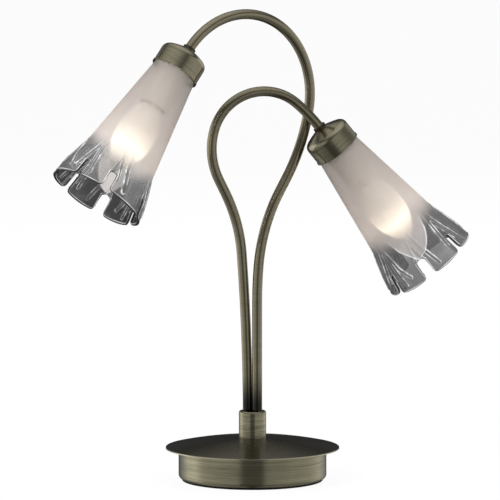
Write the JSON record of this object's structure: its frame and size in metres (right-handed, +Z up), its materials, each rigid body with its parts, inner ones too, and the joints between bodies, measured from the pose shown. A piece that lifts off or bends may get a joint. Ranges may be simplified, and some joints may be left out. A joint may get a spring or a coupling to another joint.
{
  "type": "tulip shade table lamp",
  "caption": "Table lamp with a weighted round base, two curved tube arms and downward tulip glass shades over candle bulbs.",
  "frame": {"origin": "centre of the underside of the felt pad", "axes": "+Z up, -Y towards the viewer, +X to the right"},
  "size_m": [0.4156, 0.2578, 0.4751],
  "materials": {
    "antique_brass_base": "antique brass plate, finely brushed and lacquered",
    "antique_brass_tube": "antique brass plate, satin and darkened",
    "antique_brass_cap": "antique brass plate, brushed along the height",
    "dark_bronze": "darkened, satin",
    "black_felt": "dense black felt",
    "cast_iron": "rough casting, painted black",
    "zinc_steel": "bright zinc plate",
    "bright_brass": "bright drawn brass",
    "black_rubber": "soft black rubber",
    "white_nylon": "natural nylon",
    "clear_flex": "translucent sleeve over twin conductors",
    "holder_plastic": "moulded thermoset plastic",
    "ceramic": "glazed ceramic",
    "nickel": "bright rolled cap metal",
    "shade_glass": "frosted body with clear petals",
    "bulb_glass": "frosted inside",
    "filament": "glass mount with fine wires"
  },
  "bodies": {
    "root": {"base_cover": "zinc_steel", "base_drum": "antique_brass_base", "base_felt_pad": "black_felt", "base_top_plate": "antique_brass_base", "base_weight": "cast_iron", "cable_grommet": "black_rubber", "clamp_mount_screws": "zinc_steel", "clamp_screws": "zinc_steel", "collar_grub_screws": "zinc_steel", "cover_screws": "zinc_steel", "drum_screws": "zinc_steel", "earth_screw": "zinc_steel", "earth_tag": "bright_brass", "short_arm_flex": "clear_flex", "short_arm_tube": "antique_brass_tube", "short_contact_block": "ceramic", "short_holder_barrel": "holder_plastic", "short_holder_dome": "holder_plastic", "short_lock_nut": "dark_bronze", "short_screw_shell": "bright_brass", "short_shade_cap": "antique_brass_cap", "stem_clamp_front": "zinc_steel", "stem_clamp_rear": "zinc_steel", "stem_collar": "antique_brass_base", "tall_arm_flex": "clear_flex", "tall_arm_tube": "antique_brass_tube", "tall_contact_block": "ceramic", "tall_holder_barrel": "holder_plastic", "tall_holder_dome": "holder_plastic", "tall_lock_nut": "dark_bronze", "tall_screw_shell": "bright_brass", "tall_shade_cap": "antique_brass_cap", "terminal_screws": "zinc_steel", "terminal_strip": "white_nylon"},
    "tall_shade": {"tall_glass_shade": "shade_glass"},
    "tall_ring": {"tall_shade_ring": "holder_plastic"},
    "tall_contact": {"tall_centre_contact": "bright_brass"},
    "tall_bulb": {"tall_bulb_cap": "nickel", "tall_bulb_contact": "nickel", "tall_bulb_insulator": "ceramic", "tall_bulb_glass": "bulb_glass", "tall_bulb_filament": "filament"},
    "short_shade": {"short_glass_shade": "shade_glass"},
    "short_ring": {"short_shade_ring": "holder_plastic"},
    "short_contact": {"short_centre_contact": "bright_brass"},
    "short_bulb": {"short_bulb_cap": "nickel", "short_bulb_contact": "nickel", "short_bulb_insulator": "ceramic", "short_bulb_glass": "bulb_glass", "short_bulb_filament": "filament"}
  },
  "joints": [
    {"name": "tall_shade_drop", "type": "slide", "parent": "root", "child": "tall_shade", "axis": [-0.5059, -0.3743, -0.7771], "range_m": [0, 0.012]},
    {"name": "tall_ring_turn", "type": "hinge", "parent": "tall_shade", "child": "tall_ring", "pos_m": [-0.06369, -0.05317, 0.43794], "axis": [-0.5059, -0.3743, -0.7771], "range_deg": [0, 2165]},
    {"name": "tall_contact_follow", "type": "slide", "parent": "root", "child": "tall_contact", "axis": [-0.5059, -0.3743, -0.7771], "range_m": [0, 0.00283]},
    {"name": "tall_bulb_turn", "type": "hinge", "parent": "tall_contact", "child": "tall_bulb", "pos_m": [-0.06369, -0.05317, 0.43794], "axis": [-0.5059, -0.3743, -0.7771], "range_deg": [0, 360]},
    {"name": "short_shade_drop", "type": "slide", "parent": "root", "child": "short_shade", "axis": [0.6156, 0.1308, -0.7771], "range_m": [0, 0.012]},
    {"name": "short_ring_turn", "type": "hinge", "parent": "short_shade", "child": "short_ring", "pos_m": [0.06816, 0.01808, 0.35223], "axis": [0.6156, 0.1308, -0.7771], "range_deg": [0, 2165]},
    {"name": "short_contact_follow", "type": "slide", "parent": "root", "child": "short_contact", "axis": [0.6156, 0.1308, -0.7771], "range_m": [0, 0.00283]},
    {"name": "short_bulb_turn", "type": "hinge", "parent": "short_contact", "child": "short_bulb", "pos_m": [0.06816, 0.01808, 0.35223], "axis": [0.6156, 0.1308, -0.7771], "range_deg": [0, 360]}
  ],
  "couplings": [
    {"joint": "tall_ring_turn", "follows": "tall_shade_drop", "rad_per_m": 3141.6},
    {"joint": "tall_contact_follow", "follows": "tall_bulb_turn", "m_per_rad": 0.00044882},
    {"joint": "short_ring_turn", "follows": "short_shade_drop", "rad_per_m": 3141.6},
    {"joint": "short_contact_follow", "follows": "short_bulb_turn", "m_per_rad": 0.00044882}
  ]
}
